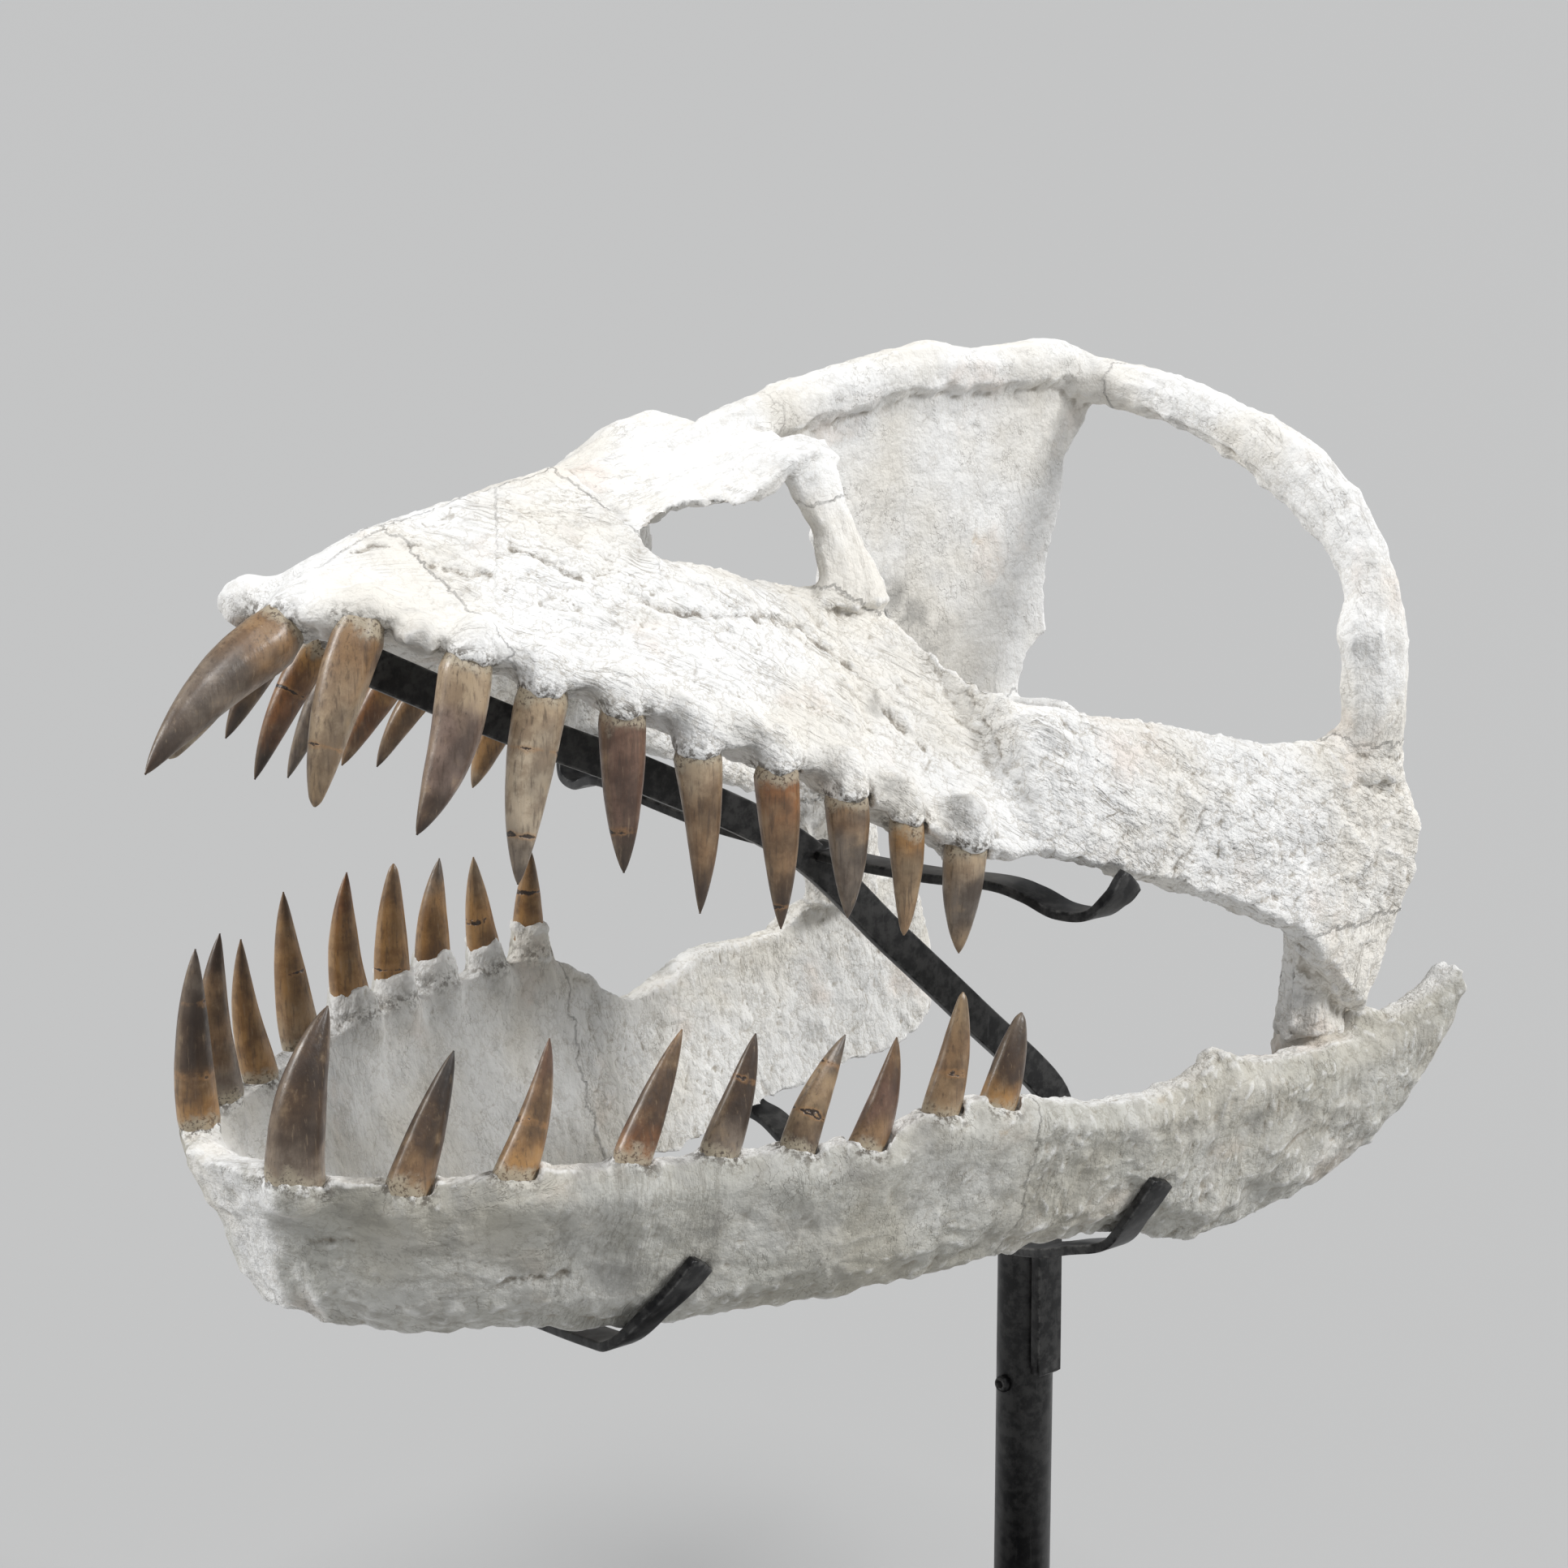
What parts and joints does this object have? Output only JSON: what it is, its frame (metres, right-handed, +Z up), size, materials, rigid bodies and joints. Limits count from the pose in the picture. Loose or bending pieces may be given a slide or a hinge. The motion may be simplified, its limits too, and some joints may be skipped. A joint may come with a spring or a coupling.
{
  "type": "fossil plesiosaur skull on a stand",
  "caption": "Life-size fossil skull of a long-necked plesiosaur with gaping jaws and fang-like teeth, held by black steel straps on a post and a flat base plate.",
  "frame": {"origin": "centre of the underside of the stand's base plate, where the model stands", "axes": "+Z up, -X towards the tip of the snout, +Y to the animal's right"},
  "size_m": [0.422, 0.2648, 0.53],
  "materials": {
    "bone": "matt chalky fossil bone with fibrous grain, grime in the pits and tan to grey-brown teeth",
    "stand_steel": "satin black paint on flat bar and tube"
  },
  "bodies": {
    "root": {"premaxilla": "bone", "maxilla_left": "bone", "maxilla_right": "bone", "frontal": "bone", "parietal_crest": "bone", "palate": "bone", "postorbital_left": "bone", "postorbital_right": "bone", "squamosal_arch_left": "bone", "squamosal_arch_right": "bone", "cheek_left": "bone", "cheek_right": "bone", "quadrate_left": "bone", "quadrate_right": "bone", "dentary": "bone", "jaw_rear_left": "bone", "jaw_rear_right": "bone", "stand_base": "stand_steel", "stand_post": "stand_steel", "stand_spine": "stand_steel", "stand_cheek_bar_left": "stand_steel", "stand_cheek_bar_right": "stand_steel", "stand_jaw_bar": "stand_steel", "stand_front_cradle": "stand_steel", "stand_rear_cradle": "stand_steel"}
  },
  "joints": []
}
